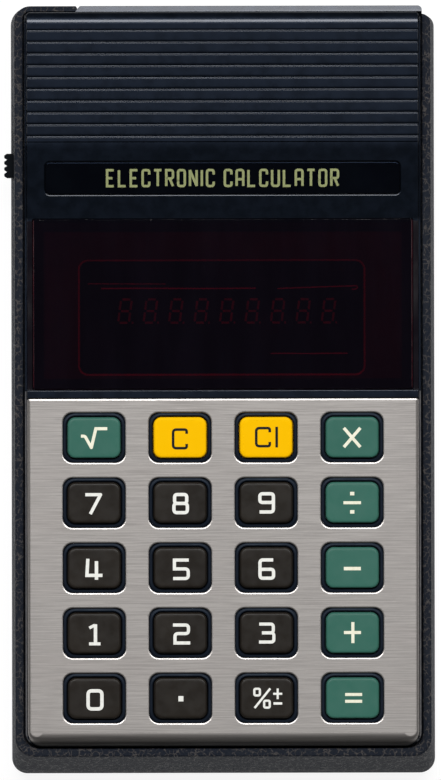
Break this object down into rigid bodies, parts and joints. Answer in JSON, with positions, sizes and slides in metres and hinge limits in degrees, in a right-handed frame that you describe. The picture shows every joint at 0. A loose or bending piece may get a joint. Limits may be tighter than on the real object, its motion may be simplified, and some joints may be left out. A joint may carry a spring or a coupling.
{
  "type": "pocket calculator",
  "caption": "Handheld calculator with a ribbed two-part case, red display window, brushed key plate, push keys, side slide switch and sliding battery cover.",
  "frame": {"origin": "under the middle of the case, in the plane that the four feet stand on", "axes": "+X to the right across the face, +Y from the keys towards the display end, +Z out of the face"},
  "size_m": [0.0812, 0.1449, 0.0237],
  "materials": {
    "rear_shell": "matte",
    "front_shell": "satin",
    "brushed_plate": "satin",
    "window": "gloss",
    "gloss_black": "gloss",
    "mask": "matte",
    "display_glass": "gloss",
    "black_plastic": "satin",
    "black_key": "satin",
    "green_key": "satin",
    "yellow_key": "satin",
    "phenolic_board": "matte",
    "glass_fibre_board": "satin",
    "dome_film": "satin",
    "ferrite": "matte",
    "blue_sleeve": "gloss",
    "ceramic": "matte",
    "grey_cable": "satin",
    "steel": "satin",
    "plated_contact": "satin",
    "cell_jacket": "satin",
    "red_wire": "satin",
    "black_wire": "satin",
    "foot_rubber": "matte"
  },
  "bodies": {
    "case": {"lower_case": "rear_shell", "upper_case": "front_shell", "key_plate": "brushed_plate", "display_lens": "window", "name_plate": "gloss_black", "display_mask": "mask", "display_panel": "display_glass", "display_holder": "black_plastic", "keyboard_board": "phenolic_board", "key_dome_sheet": "dome_film", "logic_board": "glass_fibre_board", "calculator_chip": "black_plastic", "display_driver_chip": "black_plastic", "converter_coil": "ferrite", "filter_capacitor": "blue_sleeve", "resistor_network": "ceramic", "ribbon_cable": "grey_cable", "board_screw_1": "steel", "board_screw_2": "steel", "battery_upper": "cell_jacket", "battery_lower": "cell_jacket", "contact_spring_left": "plated_contact", "contact_spring_right": "plated_contact", "contact_link_plate": "plated_contact", "contact_terminal_positive": "plated_contact", "contact_terminal_negative": "plated_contact", "wire_red": "red_wire", "wire_black": "black_wire", "adapter_socket": "black_plastic", "switch_body": "steel", "case_screw_1": "steel", "rubber_foot_1": "foot_rubber", "case_screw_2": "steel", "rubber_foot_2": "foot_rubber", "case_screw_3": "steel", "rubber_foot_3": "foot_rubber", "case_screw_4": "steel", "rubber_foot_4": "foot_rubber"},
    "key_square_root": {"key_square_root": "green_key"},
    "key_clear": {"key_clear": "yellow_key"},
    "key_clear_indicator": {"key_clear_indicator": "yellow_key"},
    "key_multiply": {"key_multiply": "green_key"},
    "key_7": {"key_7": "black_key"},
    "key_8": {"key_8": "black_key"},
    "key_9": {"key_9": "black_key"},
    "key_divide": {"key_divide": "green_key"},
    "key_4": {"key_4": "black_key"},
    "key_5": {"key_5": "black_key"},
    "key_6": {"key_6": "black_key"},
    "key_minus": {"key_minus": "green_key"},
    "key_1": {"key_1": "black_key"},
    "key_2": {"key_2": "black_key"},
    "key_3": {"key_3": "black_key"},
    "key_plus": {"key_plus": "green_key"},
    "key_0": {"key_0": "black_key"},
    "key_point": {"key_point": "black_key"},
    "key_percent_sign": {"key_percent_sign": "black_key"},
    "key_equals": {"key_equals": "green_key"},
    "switch_knob": {"switch_knob": "black_plastic"},
    "battery_cover": {"battery_cover": "rear_shell"}
  },
  "joints": [
    {"name": "key_square_root_press", "type": "slide", "parent": "case", "child": "key_square_root", "axis": [0, 0, -1], "range_m": [0, 0.001], "stiffness_N_per_m": 400, "springref_m": -0.0005, "deforming": ["key_dome_sheet"]},
    {"name": "key_clear_press", "type": "slide", "parent": "case", "child": "key_clear", "axis": [0, 0, -1], "range_m": [0, 0.001], "stiffness_N_per_m": 400, "springref_m": -0.0005, "deforming": ["key_dome_sheet"]},
    {"name": "key_clear_indicator_press", "type": "slide", "parent": "case", "child": "key_clear_indicator", "axis": [0, 0, -1], "range_m": [0, 0.001], "stiffness_N_per_m": 400, "springref_m": -0.0005, "deforming": ["key_dome_sheet"]},
    {"name": "key_multiply_press", "type": "slide", "parent": "case", "child": "key_multiply", "axis": [0, 0, -1], "range_m": [0, 0.001], "stiffness_N_per_m": 400, "springref_m": -0.0005, "deforming": ["key_dome_sheet"]},
    {"name": "key_7_press", "type": "slide", "parent": "case", "child": "key_7", "axis": [0, 0, -1], "range_m": [0, 0.001], "stiffness_N_per_m": 400, "springref_m": -0.0005, "deforming": ["key_dome_sheet"]},
    {"name": "key_8_press", "type": "slide", "parent": "case", "child": "key_8", "axis": [0, 0, -1], "range_m": [0, 0.001], "stiffness_N_per_m": 400, "springref_m": -0.0005, "deforming": ["key_dome_sheet"]},
    {"name": "key_9_press", "type": "slide", "parent": "case", "child": "key_9", "axis": [0, 0, -1], "range_m": [0, 0.001], "stiffness_N_per_m": 400, "springref_m": -0.0005, "deforming": ["key_dome_sheet"]},
    {"name": "key_divide_press", "type": "slide", "parent": "case", "child": "key_divide", "axis": [0, 0, -1], "range_m": [0, 0.001], "stiffness_N_per_m": 400, "springref_m": -0.0005, "deforming": ["key_dome_sheet"]},
    {"name": "key_4_press", "type": "slide", "parent": "case", "child": "key_4", "axis": [0, 0, -1], "range_m": [0, 0.001], "stiffness_N_per_m": 400, "springref_m": -0.0005, "deforming": ["key_dome_sheet"]},
    {"name": "key_5_press", "type": "slide", "parent": "case", "child": "key_5", "axis": [0, 0, -1], "range_m": [0, 0.001], "stiffness_N_per_m": 400, "springref_m": -0.0005, "deforming": ["key_dome_sheet"]},
    {"name": "key_6_press", "type": "slide", "parent": "case", "child": "key_6", "axis": [0, 0, -1], "range_m": [0, 0.001], "stiffness_N_per_m": 400, "springref_m": -0.0005, "deforming": ["key_dome_sheet"]},
    {"name": "key_minus_press", "type": "slide", "parent": "case", "child": "key_minus", "axis": [0, 0, -1], "range_m": [0, 0.001], "stiffness_N_per_m": 400, "springref_m": -0.0005, "deforming": ["key_dome_sheet"]},
    {"name": "key_1_press", "type": "slide", "parent": "case", "child": "key_1", "axis": [0, 0, -1], "range_m": [0, 0.001], "stiffness_N_per_m": 400, "springref_m": -0.0005, "deforming": ["key_dome_sheet"]},
    {"name": "key_2_press", "type": "slide", "parent": "case", "child": "key_2", "axis": [0, 0, -1], "range_m": [0, 0.001], "stiffness_N_per_m": 400, "springref_m": -0.0005, "deforming": ["key_dome_sheet"]},
    {"name": "key_3_press", "type": "slide", "parent": "case", "child": "key_3", "axis": [0, 0, -1], "range_m": [0, 0.001], "stiffness_N_per_m": 400, "springref_m": -0.0005, "deforming": ["key_dome_sheet"]},
    {"name": "key_plus_press", "type": "slide", "parent": "case", "child": "key_plus", "axis": [0, 0, -1], "range_m": [0, 0.001], "stiffness_N_per_m": 400, "springref_m": -0.0005, "deforming": ["key_dome_sheet"]},
    {"name": "key_0_press", "type": "slide", "parent": "case", "child": "key_0", "axis": [0, 0, -1], "range_m": [0, 0.001], "stiffness_N_per_m": 400, "springref_m": -0.0005, "deforming": ["key_dome_sheet"]},
    {"name": "key_point_press", "type": "slide", "parent": "case", "child": "key_point", "axis": [0, 0, -1], "range_m": [0, 0.001], "stiffness_N_per_m": 400, "springref_m": -0.0005, "deforming": ["key_dome_sheet"]},
    {"name": "key_percent_sign_press", "type": "slide", "parent": "case", "child": "key_percent_sign", "axis": [0, 0, -1], "range_m": [0, 0.001], "stiffness_N_per_m": 400, "springref_m": -0.0005, "deforming": ["key_dome_sheet"]},
    {"name": "key_equals_press", "type": "slide", "parent": "case", "child": "key_equals", "axis": [0, 0, -1], "range_m": [0, 0.001], "stiffness_N_per_m": 400, "springref_m": -0.0005, "deforming": ["key_dome_sheet"]},
    {"name": "power_switch_slide", "type": "slide", "parent": "case", "child": "switch_knob", "axis": [0, 1, 0], "range_m": [0, 0.004]},
    {"name": "battery_cover_slide", "type": "slide", "parent": "case", "child": "battery_cover", "axis": [0, 1, 0], "range_m": [0, 0.035]}
  ]
}
